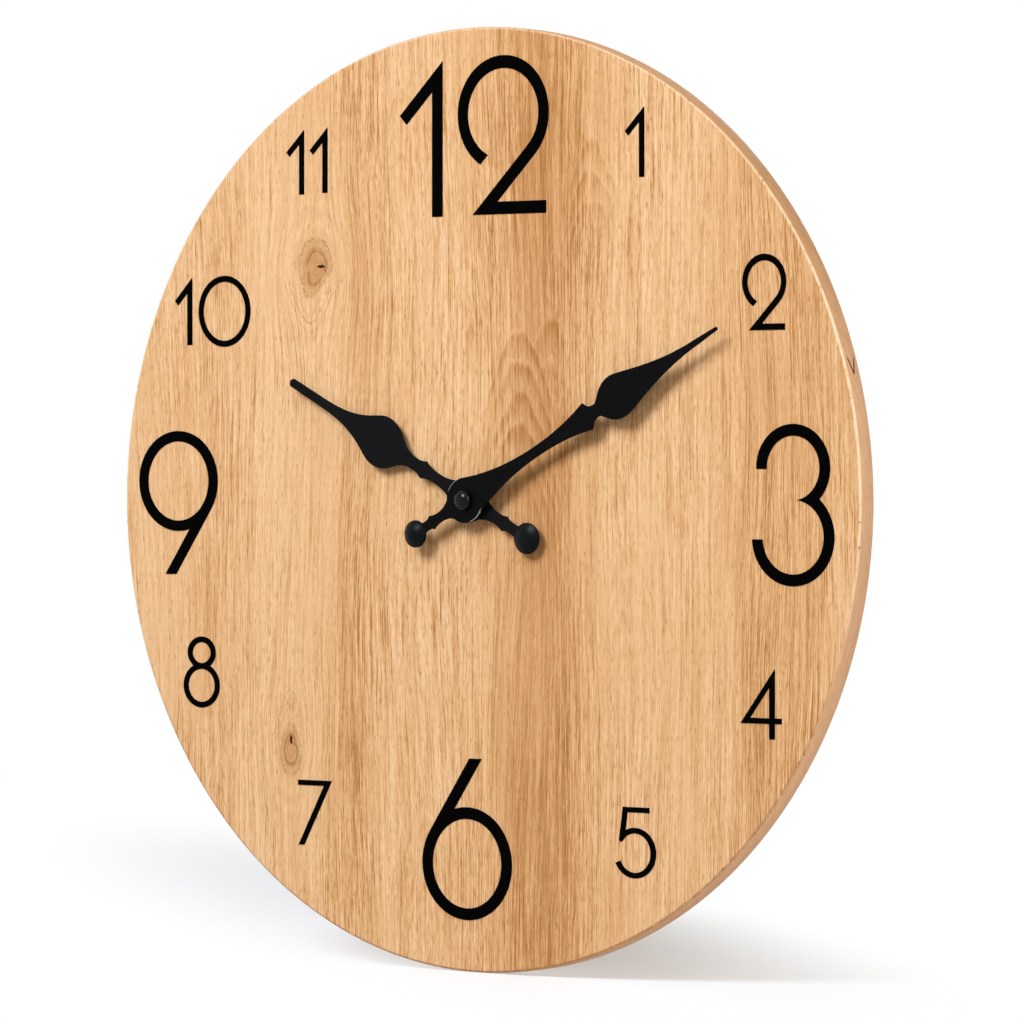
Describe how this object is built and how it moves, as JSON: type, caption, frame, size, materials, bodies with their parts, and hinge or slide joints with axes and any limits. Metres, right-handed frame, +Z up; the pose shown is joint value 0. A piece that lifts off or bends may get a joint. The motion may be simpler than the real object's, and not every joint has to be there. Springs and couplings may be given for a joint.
{
  "type": "wall clock",
  "caption": "Round wooden wall clock with black numerals, spade hands and a quartz movement that is clamped through the middle and hangs on one hook.",
  "frame": {"origin": "the point where a wall hook bears in the hanger's slot, on the plane of the wall behind the clock", "axes": "+Z up as the clock hangs, +X to the right as seen from the front, +Y from the dial back into the wall, so the dial faces -Y"},
  "size_m": [0.3, 0.0321, 0.3],
  "materials": {
    "oak": "sealed satin oak with open pores",
    "numeral_black": "matt black film",
    "hand_black": "satin black paint",
    "cap_black": "polished black",
    "case_black": "fine texture",
    "brass": "turned",
    "steel": "rolled",
    "magnet": "ground ferrite",
    "white_nylon": "moulded",
    "rubber": "matt",
    "copper": null,
    "board_green": "solder mask",
    "cell_jacket": "plain printed jacket"
  },
  "bodies": {
    "clock_body": {"wooden_panel": "oak", "numeral_12_left": "numeral_black", "numeral_12_right": "numeral_black", "numeral_1": "numeral_black", "numeral_2": "numeral_black", "numeral_3": "numeral_black", "numeral_4": "numeral_black", "numeral_5": "numeral_black", "numeral_6": "numeral_black", "numeral_7": "numeral_black", "numeral_8": "numeral_black", "numeral_9": "numeral_black", "numeral_10_left": "numeral_black", "numeral_10_right": "numeral_black", "numeral_11_left": "numeral_black", "numeral_11_right": "numeral_black", "threaded_bushing": "brass", "rubber_washer": "rubber", "dial_washer": "brass", "fixing_nut": "brass", "case_front": "case_black", "rear_cover": "case_black", "train_plate": "white_nylon", "stator": "steel", "coil_core": "steel", "coil_bobbin": "case_black", "coil_winding": "copper", "core_screw_1": "steel", "core_screw_2": "steel", "circuit_board": "board_green", "chip": "case_black", "crystal": "steel", "positive_contact": "steel", "negative_contact": "steel"},
    "minute_hand_set": {"minute_hand": "hand_black", "minute_arbor": "brass", "cap_nut": "cap_black", "clutch_spring": "steel"},
    "hour_hand_set": {"hour_hand": "hand_black", "hour_hand_collet": "brass", "hour_wheel": "white_nylon"},
    "minute_wheel_set": {"minute_wheel": "white_nylon"},
    "setting_knob_set": {"setting_knob": "white_nylon"},
    "rotor_set": {"rotor_pinion": "white_nylon", "rotor_magnet": "magnet"},
    "third_wheel_set": {"third_wheel": "white_nylon"},
    "seconds_wheel_set": {"seconds_wheel": "white_nylon"},
    "intermediate_wheel_set": {"intermediate_wheel": "white_nylon"},
    "centre_wheel_set": {"centre_wheel": "white_nylon"},
    "battery_cell": {"battery": "cell_jacket"}
  },
  "joints": [
    {"name": "minute_hand_spin", "type": "hinge", "parent": "clock_body", "child": "minute_hand_set", "pos_m": [0, 0, -0.0355], "axis": [0, 1, 0], "continuous": true},
    {"name": "hour_hand_spin", "type": "hinge", "parent": "clock_body", "child": "hour_hand_set", "pos_m": [0, 0, -0.0355], "axis": [0, 1, 0], "continuous": true},
    {"name": "minute_wheel_spin", "type": "hinge", "parent": "clock_body", "child": "minute_wheel_set", "pos_m": [-0.00779, 0, -0.031], "axis": [0, 1, 0], "continuous": true},
    {"name": "setting_knob_spin", "type": "hinge", "parent": "clock_body", "child": "setting_knob_set", "pos_m": [-0.01666, 0, -0.02944], "axis": [0, 1, 0], "continuous": true},
    {"name": "rotor_spin", "type": "hinge", "parent": "clock_body", "child": "rotor_set", "pos_m": [0.01411, 0, -0.03282], "axis": [0, 1, 0], "continuous": true},
    {"name": "third_wheel_spin", "type": "hinge", "parent": "clock_body", "child": "third_wheel_set", "pos_m": [0.00734, 0, -0.03036], "axis": [0, 1, 0], "continuous": true},
    {"name": "seconds_wheel_spin", "type": "hinge", "parent": "clock_body", "child": "seconds_wheel_set", "pos_m": [0, 0, -0.0355], "axis": [0, 1, 0], "continuous": true},
    {"name": "intermediate_wheel_spin", "type": "hinge", "parent": "clock_body", "child": "intermediate_wheel_set", "pos_m": [-0.00156, 0, -0.02664], "axis": [0, 1, 0], "continuous": true},
    {"name": "centre_wheel_spin", "type": "hinge", "parent": "clock_body", "child": "centre_wheel_set", "pos_m": [0, 0, -0.0355], "axis": [0, 1, 0], "continuous": true},
    {"name": "battery_slide", "type": "slide", "parent": "clock_body", "child": "battery_cell", "axis": [0, 1, 0], "range_m": [0, 0.02]}
  ],
  "couplings": [
    {"joint": "hour_hand_spin", "follows": "minute_hand_spin", "ratio": 0.083333},
    {"joint": "minute_wheel_spin", "follows": "minute_hand_spin", "ratio": -0.33333},
    {"joint": "setting_knob_spin", "follows": "minute_hand_spin", "ratio": 1},
    {"joint": "third_wheel_spin", "follows": "rotor_spin", "ratio": -0.2},
    {"joint": "seconds_wheel_spin", "follows": "rotor_spin", "ratio": 0.033333},
    {"joint": "intermediate_wheel_spin", "follows": "rotor_spin", "ratio": -0.0044444},
    {"joint": "centre_wheel_spin", "follows": "rotor_spin", "ratio": 0.00055556}
  ]
}
